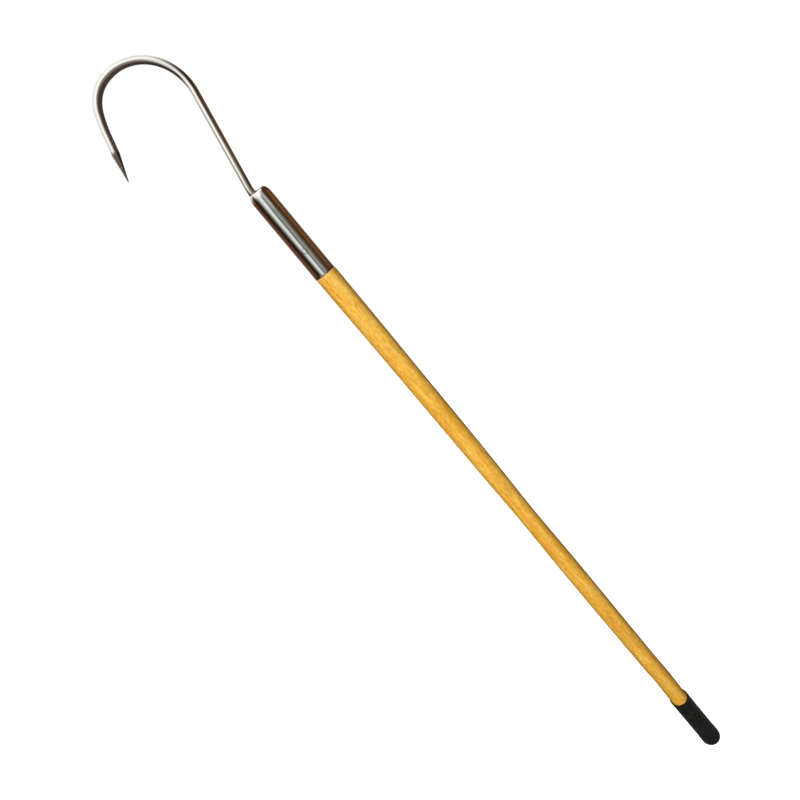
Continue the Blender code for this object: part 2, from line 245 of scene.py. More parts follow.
class Route:
    """The rod's centreline in the XZ plane, walked from the tang; heading 0 is +Z."""

    def __init__(self):
        self.x = TANG_X
        self.z = TANG_BOTTOM_Z
        self.heading = 0.0
        self.distance = 0.0
        self.stations = []
        self.mark()

    def mark(self):
        point = Vector((self.x, 0.0, self.z))
        side = Vector((cos(self.heading), 0.0, -sin(self.heading)))
        up = Vector((0.0, 1.0, 0.0))
        self.stations.append((point, side, up, self.distance, rod_radius(self.heading)))

    def straight(self, length, step):
        count = max(1, round(length / step))
        for _ in range(count):
            self.x += length / count * sin(self.heading)
            self.z += length / count * cos(self.heading)
            self.distance += length / count
            self.mark()

    def bend(self, angle, radius):
        """Turn by angle, positive towards +X."""
        side = 1.0 if angle > 0.0 else -1.0
        count = max(3, round(abs(angle) / radians(1.5)))
        centre_x = self.x + side * radius * cos(self.heading)
        centre_z = self.z - side * radius * sin(self.heading)
        for _ in range(count):
            self.heading += angle / count
            self.x = centre_x - side * radius * cos(self.heading)
            self.z = centre_z + side * radius * sin(self.heading)
            self.distance += abs(angle) / count * radius
            self.mark()


def rod_radius(heading):
    """The rod's radius, which is fuller where it was hammered over at the back of the bend."""
    away = min(1.0, abs(heading - FULLEST_HEADING) / FULLNESS_SPREAD)
    return ROD_RADIUS + BEND_FULLNESS * (1.0 - away ** 4)


def hook_route(shank=SHANK_LENGTH):
    """From the end of the tang to the end of the shank."""
    route = Route()
    route.straight(SET_BEND_Z - TANG_BOTTOM_Z, 4.0 * MM)
    route.bend(SHANK_LEAN, SET_BEND_RADIUS)
    route.straight(shank, 3.0 * MM)
    return route


def ground_point_radius(total_length):
    """The rod's radius by angle and distance: round, then ground to a point on uneven facets."""
    facets = []                      # which way each one faces, and how late it starts
    for i in range(FACET_COUNT):
        facing = radians(14.0 + 51.4 * i + 8.0 * sin(2.4 * i))
        facets.append((facing, 0.8 * MM * (1.0 + sin(1.9 * i))))

    def radius_at(angle, distance, radius):
        ground = distance - (total_length - POINT_LENGTH)
        if ground <= 0.0:
            return radius
        for facing, late in facets:
            share = max(0.0, min(1.0, (ground - late) / (POINT_LENGTH - late)))
            depth = ROD_RADIUS - (ROD_RADIUS - 0.6 * TIP_RADIUS) * share ** 0.93
            lean = cos(angle - facing)
            if lean > 0.3:
                radius = min(radius, depth / lean)
        nearly_done = max(0.0, ground - (POINT_LENGTH - TIP_RADIUS)) / TIP_RADIUS
        return radius * sqrt(max(0.0, 1.0 - 0.8 * nearly_done ** 2))

    return radius_at


def make_hook():
    route = hook_route()
    for degrees, radius in HOOK_BENDS:
        route.bend(-radians(degrees), radius)
    route.straight(POINT_LEG_LENGTH - POINT_LENGTH, 2.0 * MM)
    route.straight(POINT_LENGTH, 0.5 * MM)
    total = route.distance
    hook = swept("hook_detailed", route.stations, ground_point_radius(total), 72, 24.0)
    finish_piece(hook, "hook")
    hook.data.materials.append(hook_steel(total))
    return hook


def rod_cutter():
    """The rod as far as just above the ferrule, with play round it."""
    stations = hook_route(15.0 * MM).stations
    cutter = swept("rod_cutter", stations, lambda angle, at, radius: radius + ROD_PLAY)
    cutter.hide_render = True
    return cutter


def make_weld():
    """A rippled fillet on the flat top, round the side of the shank that stands on it."""
    height = FERRULE_TOP + WELD_RADIUS * 0.8
    centre_x = shank_x(height)
    ring = ROD_RADIUS / cos(SHANK_LEAN) + WELD_RADIUS * 0.75
    stations = []
    for i in range(WELD_STEPS + 1):
        share = i / WELD_STEPS
        angle = WELD_HALF_SWEEP * (2.0 * share - 1.0)
        outward = Vector((cos(angle), sin(angle), 0.0))
        point = Vector((centre_x, 0.0, height)) + ring * outward
        stations.append((point, outward, Vector((0.0, 0.0, 1.0)), share, WELD_RADIUS))

    def radius_at(angle, share, radius):
        ripple = 1.0 + 0.10 * sin(share * 2.0 * pi * WELD_RIPPLES)
        ripple += 0.04 * sin(share * 31.0 + angle)
        end = min(1.0, 0.25 + 9.0 * min(share, 1.0 - share))
        return radius * ripple * end

    weld = swept("hook_weld_detailed", stations, radius_at, 24, 60.0)
    finish_piece(weld, "hook_weld_bead")
    weld.data.materials.append(weld_metal())
    return weld


def shank_x(z):
    """Where the rod's centreline is, at a height in the set bend or the shank above it."""
    set_x = TANG_X + SET_BEND_RADIUS * (1.0 - cos(SHANK_LEAN))
    set_z = SET_BEND_Z + SET_BEND_RADIUS * sin(SHANK_LEAN)
    if z < set_z:
        return TANG_X + SET_BEND_RADIUS - sqrt(SET_BEND_RADIUS ** 2 - (z - SET_BEND_Z) ** 2)
    return set_x + (z - set_z) * sin(SHANK_LEAN) / cos(SHANK_LEAN)


# ---------------------------------------------------------------- ferrule

def shoulder_drop(share):
    """How far the shoulder has drawn in, at a share of its rise from the neck to the mouth."""
    return (FERRULE_NECK_RADIUS - FERRULE_MOUTH_RADIUS) * share ** SHOULDER_CURVE


def shoulder(inset, count):
    """The convex shoulder from its mouth down to the neck, moved inwards by inset."""
    points = []
    for i in range(count + 1):
        share = 1.0 - i / count
        z = FERRULE_TOP - FERRULE_SHOULDER_RISE * (1.0 - share)
        points.append((FERRULE_NECK_RADIUS - inset - shoulder_drop(share), z))
    return points


def make_ferrule():
    mouth = FERRULE_MOUTH_RADIUS - FERRULE_WALL
    bottom = FERRULE_BOTTOM_RADIUS
    foot_z = FERRULE_BOTTOM + FERRULE_FOOT_HEIGHT
    outside = shoulder(0.0, 40)
    inside = [p for p in shoulder(FERRULE_WALL, 18) if p[0] > mouth + 0.1 * MM]
    kept = [p for p in outside if p[1] < FERRULE_TOP - FERRULE_EDGE]
    profile = [(mouth, FERRULE_TOP - 0.1 * MM), (mouth + 0.1 * MM, FERRULE_TOP)]
    profile += rounded_corner((FERRULE_MOUTH_RADIUS - 0.25 * MM, FERRULE_TOP),
                              (FERRULE_MOUTH_RADIUS, FERRULE_TOP), kept[0], 8)
    profile += kept
    neck_z = outside[-1][1]
    steps = 24
    for i in range(1, steps):
        share = i / steps
        profile.append((FERRULE_NECK_RADIUS + (bottom - FERRULE_NECK_RADIUS) * share,
                        neck_z + (foot_z - neck_z) * share))
    profile += [(bottom, foot_z)]
    profile += arc((bottom - FERRULE_EDGE, FERRULE_BOTTOM + FERRULE_EDGE), FERRULE_EDGE,
                   0.0, -pi / 2, 6)
    profile += [(bottom - FERRULE_WALL, FERRULE_BOTTOM)]
    profile += list(reversed(inside))
    profile += [(mouth, FERRULE_TOP - 2.0 * MM)]
    ferrule = turned("ferrule_detailed", profile, 192, 50.0)
    fill_front(ferrule)
    bulge_side(ferrule)
    carve(ferrule, rod_cutter())
    finish_piece(ferrule, "ferrule_tube")
    ferrule.data.materials.append(ferrule_steel())
    return ferrule


def fill_front(ferrule):
    """The tube's end is pressed in at its two sides; in front and behind it stays fuller.

    The pressing left a faint ridge in front, which runs down a quarter of the tube.
    """
    for vert in ferrule.data.vertices:
        share = max(0.0, 1.0 - (FERRULE_TOP - vert.co.z) / FERRULE_SHOULDER_RISE)
        radius = hypot(vert.co.x, vert.co.y)
        drop = shoulder_drop(share)
        if radius < FERRULE_NECK_RADIUS - drop - 0.4 * MM:       # inside the tube
            continue
        side = abs(vert.co.x) / radius
        front = FRONT_DROP * share ** SHOULDER_CURVE + FRONT_EDGE_DROP * share ** 14
        growth = (drop - front) * (1.0 - side ** 6)
        if vert.co.y < 0.0:
            growth += ridge_height(vert.co.x, vert.co.z, share)
        vert.co.x *= 1.0 + growth / radius
        vert.co.y *= 1.0 + growth / radius


def bulge_side(ferrule):
    """The tang inside pushes the tube a little out of round on the hook's side."""
    for vert in ferrule.data.vertices:
        if vert.co.x < 0.0:
            side = -vert.co.x / hypot(vert.co.x, vert.co.y)
            vert.co.x -= SIDE_BULGE * side ** 4


def ridge_height(x, z, share):
    """How far the ridge stands up; it wanders outwards on the shoulder and is steeper outside."""
    away = x - (3.7 + 1.2 * share) * MM
    reach = RIDGE_INNER_REACH if away < 0.0 else RIDGE_OUTER_REACH
    fading = max(0.0, min(1.0, (z - (FERRULE_TOP - RIDGE_LENGTH)) / (5.0 * MM)))
    return RIDGE_HEIGHT * fading * max(0.0, 1.0 - abs(away) / reach)


def make_end_plate():
    radius = PLATE_HIGH.y + 0.25 * MM
    top = PLATE_HIGH.z
    edge = 0.2 * MM
    profile = [(0.0, top - 0.05 * MM), (radius * 0.6, top - 0.03 * MM), (radius - edge, top),
               (radius, top - edge), (radius, PLATE_LOW.z), (0.0, PLATE_LOW.z)]
    plate = turned("end_plate_detailed", profile, 128)
    carve(plate, rod_cutter())
    finish_piece(plate, "ferrule_end_plate")
    plate.data.materials.append(polished_steel("end_plate_steel"))
    return plate


def make_rivet():
    """A through rivet along Y; its low heads are dressed to the curve of the ferrule."""
    head = 0.84 * RIVET_RADIUS
    flat = head - RIVET_EDGE
    surface = ferrule_radius(RIVET_Z)
    seat = surface - 0.6 * MM
    end = surface + 0.15 * MM
    dome = [(0.0, end)]
    dome += [(flat * i / 8, end) for i in range(1, 9)]
    dome += rounded_corner((flat, end), (head, end), (head, end - RIVET_EDGE), 8)[1:]
    dome += [(head, seat), (head * 0.55, seat)]
    profile = dome + [(radius, -height) for radius, height in reversed(dome)]
    rivet = turned("rivet_detailed", profile, 64)
    stand_along_y(rivet, RIVET_X, RIVET_Z)
    for vert in rivet.data.vertices:
        fall = surface - sqrt(surface ** 2 - vert.co.x ** 2)
        vert.co.y -= copysign(fall, vert.co.y)
    finish_piece(rivet, "ferrule_rivet")
    rivet.data.materials.append(polished_steel("rivet_steel"))
    return rivet


def ferrule_radius(z):
    """Outer radius of the ferrule's tapering body at a height."""
    neck_z = FERRULE_TOP - FERRULE_SHOULDER_RISE
    share = (z - FERRULE_BOTTOM) / (neck_z - FERRULE_BOTTOM)
    return FERRULE_BOTTOM_RADIUS + (FERRULE_NECK_RADIUS - FERRULE_BOTTOM_RADIUS) * share


# ---------------------------------------------------------------- pole and cap

def swelling(z, centre, spread):
    """1 at centre, falling smoothly to 0 a spread or two away."""
    return exp(-((z - centre) / spread) ** 2)


def pole_radius(z):
    """The pole is sanded by hand, so it is a little thinner from its middle up and at its waists."""
    height, spread, depth = POLE_SLIMMING
    slim = depth / (1.0 + exp((height - z) / spread))
    for height, spread, depth in POLE_WAISTS:
        slim += depth * swelling(z, height, spread)
    return POLE_RADIUS - slim


def pole_drift(z):
    """How far its middle strays from the straight axis towards +X."""
    return sum(size * swelling(z, height, spread) for height, spread, size in POLE_STRAYS)


def make_pole():
    corner = POLE_CORNER
    top = pole_radius(SHOULDER_Z)
    outline = [(POLE_RADIUS - corner, POLE_LOW.z), (POLE_RADIUS, POLE_LOW.z + corner)]
    steps = 150
    for i in range(steps + 1):
        z = POLE_START_Z + (SHOULDER_Z - corner - POLE_START_Z) * i / steps
        outline.append((pole_radius(z), z))
    outline += reversed(arc((top - corner, SHOULDER_Z - corner), corner, pi / 2, 0.0, 8))
    outline += [(TENON_RADIUS, SHOULDER_Z), (TENON_RADIUS, TENON_TOP_Z - corner),
                (TENON_RADIUS - corner, TENON_TOP_Z)]
    stations = []
    for radius, z in outline:
        centre = Vector((pole_drift(z), 0.0, z))
        stations.append((centre, Vector((1.0, 0.0, 0.0)), Vector((0.0, 1.0, 0.0)), z, radius))
    pole = swept("pole_detailed", stations, lambda angle, at, radius: radius, 128)
    finish_piece(pole, "wooden_pole")
    pole.data.materials.append(varnished_wood())
    return pole


def make_cap():
    bore = POLE_RADIUS + 0.05 * MM
    floor = POLE_LOW.z - 0.3 * MM
    foot = CAP_FOOT_RADIUS
    sleeve_top = CAP_TOP - CAP_LIP
    sleeve_end = CAP_FOOT_HEIGHT + 4.0 * MM
    profile = [(bore + 0.3 * MM, CAP_TOP - 0.25 * MM)]
    profile += arc((CAP_RADIUS - CAP_LIP, sleeve_top), CAP_LIP, pi * 0.6, 0.0, 8)
    steps = 24
    for i in range(1, steps + 1):
        profile.append((CAP_RADIUS - 0.12 * MM * sin(pi * i / steps),
                        sleeve_top + (sleeve_end - sleeve_top) * i / steps))
    for i in range(1, 9):
        share = i / 8
        ease = share * share * (3.0 - 2.0 * share)
        profile.append((CAP_RADIUS + (CAP_WAIST - CAP_RADIUS) * ease,
                        sleeve_end - 3.0 * MM * share))
    profile.append((CAP_WAIST, CAP_FOOT_HEIGHT + 0.4 * MM))
    profile += rounded_corner((CAP_WAIST + 0.1 * MM, CAP_FOOT_HEIGHT), (foot, CAP_FOOT_HEIGHT),
                              (foot, CAP_FOOT_HEIGHT - 0.6 * MM), 6)
    corner = foot - CAP_BUTT_RADIUS
    for i in range(steps + 1):
        angle = pi / 2 * i / steps
        profile.append((CAP_BUTT_RADIUS + corner * cos(angle),
                        CAP_DOME_HEIGHT * (1.0 - sin(angle))))
    profile += [(0.0, 0.0), (0.0, floor), (bore, floor)]
    cap = turned("cap_detailed", profile, 160)
    carve(cap, tack_recess())
    finish_piece(cap, "rubber_end_cap")
    cap.data.materials.append(black_rubber())
    return cap


def tack_recess():
    """The pocket that the tack's head is sunk in, cut from well in front of the cap."""
    hole = TACK_RADIUS + 0.2 * MM
    front = TACK_END + 3.0 * MM
    back = TACK_END - 0.9 * MM
    cutter = turned("tack_recess", [(0.0, front), (hole, front), (hole, back), (0.0, back)], 32)
    stand_along_y(cutter, TACK_X, TACK_Z)
    cutter.hide_render = True
    return cutter


def make_tack():
    end = TACK_END
    head = TACK_RADIUS
    profile = [(0.0, end), (head * 0.5, end - 0.04 * MM), (head * 0.85, end - 0.14 * MM),
               (head, end - 0.3 * MM), (head, end - 0.5 * MM), (head * 0.55, end - 0.55 * MM),
               (head * 0.5, end - 9.0 * MM), (0.0, end - 11.0 * MM)]
    tack = turned("tack_detailed", profile, 32)
    stand_along_y(tack, TACK_X, TACK_Z)
    finish_piece(tack, "cap_tack")
    tack.data.materials.append(tack_oxide_and_painted_shade())
    return tack


def finish_piece(item, node):
    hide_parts(node)
    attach(item, "root")


# ---------------------------------------------------------------- material helpers

class Nodes:
    """A material's or world's node tree, with short ways to add to it."""

    def __init__(self, tree):
        self.tree = tree

    def add(self, kind, **settings):
        node = self.tree.nodes.new(kind)
        for name, value in settings.items():
            setattr(node, name, value)
        return node

    def link(self, source, target):
        self.tree.links.new(source, target)

    def where(self, attribute=None):
        """Object coordinates, or a mesh attribute's."""
        if attribute:
            return self.add("ShaderNodeAttribute", attribute_name=attribute).outputs["Vector"]
        return self.add("ShaderNodeTexCoord").outputs["Object"]

    def place(self, scale, attribute=None):
        """The coordinates times a scale for each axis."""
        mapping = self.add("ShaderNodeMapping")
        mapping.inputs["Scale"].default_value = scale
        self.link(self.where(attribute), mapping.inputs["Vector"])
        return mapping.outputs["Vector"]

    def axes(self, vector):
        """The outputs X, Y and Z of a vector."""
        split = self.add("ShaderNodeSeparateXYZ")
        self.link(vector, split.inputs["Vector"])
        return split.outputs

    def noise(self, vector, scale, detail=3.0, rough=0.5, distortion=0.0):
        node = self.add("ShaderNodeTexNoise")
        node.inputs["Scale"].default_value = scale
        node.inputs["Detail"].default_value = detail
        node.inputs["Roughness"].default_value = rough
        node.inputs["Distortion"].default_value = distortion
        self.link(vector, node.inputs["Vector"])
        return node.outputs["Fac"]

    def ramp(self, factor, stops):
        node = self.add("ShaderNodeValToRGB")
        band = node.color_ramp
        while len(band.elements) < len(stops):
            band.elements.new(0.5)
        for element, (position, colour) in zip(band.elements, stops):
            element.position = position
            element.color = (*colour, 1.0)
        self.link(factor, node.inputs["Fac"])
        return node.outputs["Color"]

    def span(self, value, low, high, to_low, to_high):
        node = self.add("ShaderNodeMapRange")
        node.inputs["From Min"].default_value = low
        node.inputs["From Max"].default_value = high
        node.inputs["To Min"].default_value = to_low
        node.inputs["To Max"].default_value = to_high
        self.link(value, node.inputs["Value"])
        return node.outputs["Result"]

    def band(self, value, start, full, fading, end):
        """1 from full to fading, and 0 outside start and end."""
        rise = self.span(value, start, full, 0.0, 1.0)
        return self.math("MULTIPLY", rise, self.span(value, fading, end, 1.0, 0.0))

    def fill(self, socket, value):
        """Gives a socket a number, a colour, or a link from another node's output."""
        if isinstance(value, (float, int)):
            socket.default_value = value
        elif isinstance(value, tuple):
            socket.default_value = (*value, 1.0)
        else:
            self.link(value, socket)

    def mix(self, factor, first, second, blend="MIX"):
        """A mix of two colours."""
        node = self.add("ShaderNodeMix", data_type="RGBA", blend_type=blend)
        self.fill(node.inputs[0], factor)
        self.fill(node.inputs[6], first)
        self.fill(node.inputs[7], second)
        return node.outputs[2]

    def mix_numbers(self, factor, first, second):
        node = self.add("ShaderNodeMix", data_type="FLOAT")
        self.fill(node.inputs[0], factor)
        self.fill(node.inputs[2], first)
        self.fill(node.inputs[3], second)
        return node.outputs[0]

    def math(self, operation, first, second):
        node = self.add("ShaderNodeMath", operation=operation)
        self.fill(node.inputs[0], first)
        self.fill(node.inputs[1], second)
        return node.outputs[0]

    def bump(self, height, strength, distance, normal=None):
        node = self.add("ShaderNodeBump")
        node.inputs["Strength"].default_value = strength
        node.inputs["Distance"].default_value = distance
        self.link(height, node.inputs["Height"])
        if normal:
            self.link(normal, node.inputs["Normal"])
        return node.outputs["Normal"]


def new_material(name):
    material = bpy.data.materials.new(name)
    material.use_nodes = True
    nodes = Nodes(material.node_tree)
    surface = material.node_tree.nodes["Principled BSDF"]
    return material, nodes, surface


# ---------------------------------------------------------------- materials

STEEL = (0.66, 0.64, 0.61)
STEEL_DULL = tuple(0.93 * c for c in STEEL)
# Painted highlight: a brighter steel colour for patches of the ferrule
STEEL_PAINTED_HIGHLIGHT = (0.92, 0.90, 0.87)
# Painted shade: a darker steel colour for the front of the hook's shank
STEEL_PAINTED_SHADE = (0.22, 0.20, 0.18)
STEEL_SCORCHED = (0.13, 0.095, 0.070)
SEAM_DARK = (0.10, 0.070, 0.050)
WOOD_ORANGE = (0.80, 0.395, 0.043)
WOOD_AMBER = (0.86, 0.48, 0.066)
WOOD_GOLD = (0.92, 0.575, 0.100)
WOOD_PALE = (0.98, 0.695, 0.185)
# Painted highlight: a pale colour for the wood's rounded edge under the ferrule
WOOD_PAINTED_HIGHLIGHT = (1.0, 0.80, 0.45)


def polish_marks(nodes, attribute=None):
    """Roughness and normal of buffed steel: lengthwise streaks, hairline marks, faint waves."""
    streaks = nodes.noise(nodes.place((260.0, 260.0, 7.0), attribute), 1.0, 3.0, 0.6)
    hairs = nodes.noise(nodes.place((1900.0, 1900.0, 60.0), attribute), 1.0, 2.0, 0.5)
    waves = nodes.noise(nodes.place((55.0, 55.0, 22.0), attribute), 1.0, 1.0, 0.4)
    roughness = nodes.span(streaks, 0.3, 0.75, 0.035, 0.075)
    normal = nodes.bump(waves, 0.38, 0.0006)
    normal = nodes.bump(streaks, 0.06, 0.0001, normal)
    normal = nodes.bump(hairs, 0.06, 0.00003, normal)
    return streaks, roughness, normal


def steel_colour(nodes, streaks):
    return nodes.ramp(streaks, [(0.3, STEEL_DULL), (0.7, STEEL)])


def polished_steel(name):
    material, nodes, surface = new_material(name)
    streaks, roughness, normal = polish_marks(nodes)
    nodes.link(steel_colour(nodes, streaks), surface.inputs["Base Color"])
    nodes.link(roughness, surface.inputs["Roughness"])
    nodes.link(normal, surface.inputs["Normal"])
    surface.inputs["Metallic"].default_value = 1.0
    return material


def ferrule_steel():
    """Brighter in places, where highlights are painted into its colour; dark with heat along its
    edge by the weld, and at the rivet.
    """
    material, nodes, surface = new_material("ferrule_steel")
    streaks, roughness, normal = polish_marks(nodes)
    axes = nodes.axes(nodes.where())
    # Painted highlights: brighter steel in front below the hook and in a glint line beside it
    colour = nodes.mix(painted_highlight_patches(nodes, axes), steel_colour(nodes, streaks), STEEL_PAINTED_HIGHLIGHT)
    dark = nodes.math("MAXIMUM", scorched_edge(nodes, axes), rivet_seam(nodes, axes))
    nodes.link(nodes.mix(dark, colour, SEAM_DARK), surface.inputs["Base Color"])
    nodes.link(nodes.mix_numbers(dark, roughness, 0.35), surface.inputs["Roughness"])
    nodes.link(normal, surface.inputs["Normal"])
    surface.inputs["Metallic"].default_value = 1.0
    return material


def scorched_edge(nodes, axes):
    """1 in a ragged line round the top edge, except on the side away from the weld."""
    ragged = nodes.noise(nodes.place((600.0, 600.0, 600.0)), 1.0, 2.0)
    height = nodes.math("ADD", axes["Z"], nodes.math("MULTIPLY", ragged, 0.6 * MM))
    edge = nodes.span(height, FERRULE_TOP - 0.75 * MM, FERRULE_TOP - 0.35 * MM, 0.0, 1.0)
    near_weld = nodes.span(axes["X"], -5.5 * MM, -3.0 * MM, 0.0, 1.0)
    return nodes.math("MULTIPLY", edge, near_weld)


def painted_highlight_patches(nodes, axes):
    """1 where a highlight is painted on as brighter steel: in front below the hook, and in a glint
    line beside it.
    """
    up = nodes.math("SUBTRACT", axes["Z"], FERRULE_TOP)
    front = nodes.band(axes["X"], -2.4 * MM, -1.2 * MM, 3.5 * MM, 4.3 * MM)
    front = nodes.math("MULTIPLY", front, nodes.span(up, -25.0 * MM, -17.0 * MM, 0.0, 1.0))
    line = nodes.band(axes["X"], 6.6 * MM, 7.2 * MM, 7.8 * MM, 8.4 * MM)
    line = nodes.math("MULTIPLY", line,
                      nodes.band(up, -36.0 * MM, -26.0 * MM, -16.0 * MM, -8.0 * MM))
    return nodes.math("MAXIMUM", front, line)


def rivet_seam(nodes, axes):
    """1 under the rivet's head and in the dark line that shows round it."""
    across = nodes.math("SUBTRACT", axes["X"], RIVET_X)
    along = nodes.math("SUBTRACT", axes["Z"], RIVET_Z)
    squares = nodes.math("ADD", nodes.math("MULTIPLY", across, across),
                         nodes.math("MULTIPLY", along, along))
    away = nodes.math("SQRT", squares, 0.0)
    return nodes.span(away, RIVET_RADIUS - 0.1 * MM, RIVET_RADIUS + 0.1 * MM, 1.0, 0.0)


def hook_steel(total_length):
    """Polished rod with a streak of painted shade up the shank, scorched at the weld, then a ground
    point that is darker and rougher.
    """
    material, nodes, surface = new_material("hook_steel")
    streaks, roughness, normal = polish_marks(nodes, "rod_place")
    along_rod = nodes.axes(nodes.where("rod_place"))
    start = total_length - POINT_LENGTH
    ragged = nodes.noise(nodes.place((420.0, 420.0, 90.0), "rod_place"), 1.0, 2.0)
    edge = nodes.math("ADD", along_rod["Z"], nodes.math("MULTIPLY", ragged, 2.0 * MM))
    ground = nodes.span(edge, start - 0.4 * MM, start + 2.8 * MM, 0.0, 1.0)
    marks = nodes.noise(nodes.place((300.0, 300.0, 2600.0), "rod_place"), 1.0, 2.0, 0.6)
    patches = nodes.noise(nodes.place((700.0, 700.0, 350.0), "rod_place"), 1.0, 3.0, 0.6)
    worn = nodes.ramp(patches, [(0.35, (0.13, 0.10, 0.08)), (0.5, (0.22, 0.17, 0.14)),
                                (0.68, (0.38, 0.31, 0.26))])
    bright = steel_colour(nodes, streaks)
    # Painted shade: a dark streak up the front of the shank
    bright = nodes.mix(shank_painted_shade(nodes, along_rod), bright, STEEL_PAINTED_SHADE)
    colour = nodes.mix(ground, bright, worn)
    height = nodes.axes(nodes.where())["Z"]
    scorched = nodes.math("ADD", height, nodes.math("MULTIPLY", ragged, 1.5 * MM))
    scorched = nodes.span(scorched, FERRULE_TOP + 1.6 * MM, FERRULE_TOP + 3.2 * MM, 0.8, 0.0)
    nodes.link(nodes.mix(scorched, colour, STEEL_SCORCHED), surface.inputs["Base Color"])
    rough_ground = nodes.span(marks, 0.3, 0.7, 0.30, 0.5)
    nodes.link(nodes.mix_numbers(ground, roughness, rough_ground), surface.inputs["Roughness"])
    cuts = nodes.math("MULTIPLY", marks, ground)
    dents = nodes.math("MULTIPLY", patches, ground)
    normal = nodes.bump(cuts, 0.5, 0.00008, normal)
    normal = nodes.bump(dents, 0.6, 0.0004, normal)
    nodes.link(normal, surface.inputs["Normal"])
    surface.inputs["Metallic"].default_value = 1.0
    return material


def shank_painted_shade(nodes, along_rod):
    """How dark the painted shade is, in a streak up the front of the shank into the bend, where it
    darkens the mirrored studio.
    """
    across = nodes.band(along_rod["X"], -0.4 * MM, 0.6 * MM, 1.6 * MM, 2.6 * MM)
    along = nodes.band(along_rod["Z"], 105.0 * MM, 160.0 * MM, 178.0 * MM, 194.0 * MM)
    return nodes.math("MULTIPLY", nodes.math("MULTIPLY", across, along), 0.8)


def weld_metal():
    material, nodes, surface = new_material("weld_steel")
    grain = nodes.noise(nodes.place((900.0, 900.0, 900.0)), 1.0, 3.0, 0.6)
    colour = nodes.ramp(grain, [(0.3, (0.26, 0.23, 0.20)), (0.7, (0.50, 0.47, 0.43))])
    nodes.link(colour, surface.inputs["Base Color"])
    nodes.link(nodes.span(grain, 0.3, 0.7, 0.28, 0.45), surface.inputs["Roughness"])
    nodes.link(nodes.bump(grain, 0.4, 0.0002), surface.inputs["Normal"])
    surface.inputs["Metallic"].default_value = 1.0
    return material


def varnished_wood():
    """Straight-grained pale wood, amber under clear varnish, with a pale highlight painted along its
    rounded top edge.
    """
    material, nodes, surface = new_material("varnished_wood_grain")
    broad = nodes.noise(nodes.place((110.0, 110.0, 9.0)), 1.0, 4.0, 0.6, 0.8)
    streaks = nodes.noise(nodes.place((380.0, 380.0, 60.0)), 1.0, 3.0, 0.6, 0.4)
    fibres = nodes.noise(nodes.place((760.0, 760.0, 170.0)), 1.0, 3.0, 0.7)
    hues = nodes.noise(nodes.place((330.0, 330.0, 95.0)), 1.0, 3.0, 0.6)
    body = nodes.ramp(broad, [(0.30, WOOD_ORANGE), (0.45, WOOD_AMBER), (0.58, WOOD_GOLD),
                              (0.72, WOOD_PALE)])
    line = nodes.ramp(streaks, [(0.28, (0.76, 0.63, 0.45)), (0.42, (0.94, 0.90, 0.82)),
                                (0.55, (1.0, 1.0, 1.0)), (0.72, (1.06, 1.09, 1.20))])
    colour = nodes.mix(0.85, body, line, "MULTIPLY")
    thread = nodes.ramp(fibres, [(0.28, (0.70, 0.61, 0.50)), (0.5, (0.99, 0.98, 0.96)),
                                 (0.72, (1.18, 1.18, 1.18))])
    colour = nodes.mix(1.0, colour, thread, "MULTIPLY")
    tone = nodes.ramp(hues, [(0.30, (1.04, 0.93, 0.66)), (0.5, (1.0, 1.0, 1.0)),
                             (0.70, (0.99, 1.04, 1.50))])
    colour = nodes.mix(1.0, colour, tone, "MULTIPLY")
    height = nodes.axes(nodes.where())["Z"]
    # Painted highlight: a pale line on the rounded edge just under the ferrule, where light catches
    # it
    painted_highlight_edge = nodes.span(height, SHOULDER_Z - 1.3 * MM, SHOULDER_Z - 0.6 * MM, 0.0, 0.45)
    nodes.link(nodes.mix(painted_highlight_edge, colour, WOOD_PAINTED_HIGHLIGHT), surface.inputs["Base Color"])

    nodes.link(nodes.span(fibres, 0.3, 0.7, 0.40, 0.58), surface.inputs["Roughness"])
    normal = nodes.bump(fibres, 0.15, 0.0001)
    normal = nodes.bump(streaks, 0.15, 0.0003, normal)
    nodes.link(normal, surface.inputs["Normal"])
    surface.inputs["Coat Weight"].default_value = 0.8
    surface.inputs["Coat Roughness"].default_value = 0.16
    surface.inputs["Coat Tint"].default_value = (0.93, 0.86, 0.74, 1.0)
    surface.inputs["Specular IOR Level"].default_value = 0.35
    return material


def black_rubber():
    material, nodes, surface = new_material("moulded_rubber")
    pebble = nodes.noise(nodes.place((650.0, 650.0, 420.0)), 1.0, 3.0, 0.7)
    smears = nodes.noise(nodes.place((90.0, 90.0, 40.0)), 1.0, 4.0, 0.6)
    ribs = nodes.noise(nodes.place((420.0, 420.0, 25.0)), 1.0, 2.0, 0.5)
    colour = nodes.ramp(smears, [(0.3, (0.0050, 0.0050, 0.0045)), (0.6, (0.0075, 0.0075, 0.0068)),
                                 (0.8, (0.013, 0.013, 0.0118))])
    chalk = nodes.ramp(pebble, [(0.35, (0.40, 0.40, 0.40)), (0.5, (1.0, 1.0, 1.0)),
                                (0.66, (2.3, 2.3, 2.2))])
    nodes.link(nodes.mix(1.0, colour, chalk, "MULTIPLY"), surface.inputs["Base Color"])
    nodes.link(nodes.span(smears, 0.3, 0.7, 0.50, 0.72), surface.inputs["Roughness"])
    normal = nodes.bump(ribs, 0.35, 0.0003)
    normal = nodes.bump(pebble, 0.5, 0.0002, normal)
    nodes.link(normal, surface.inputs["Normal"])
    surface.inputs["Specular IOR Level"].default_value = 0.12
    surface.inputs["Sheen Weight"].default_value = 0.06
    surface.inputs["Sheen Roughness"].default_value = 0.5
    return material


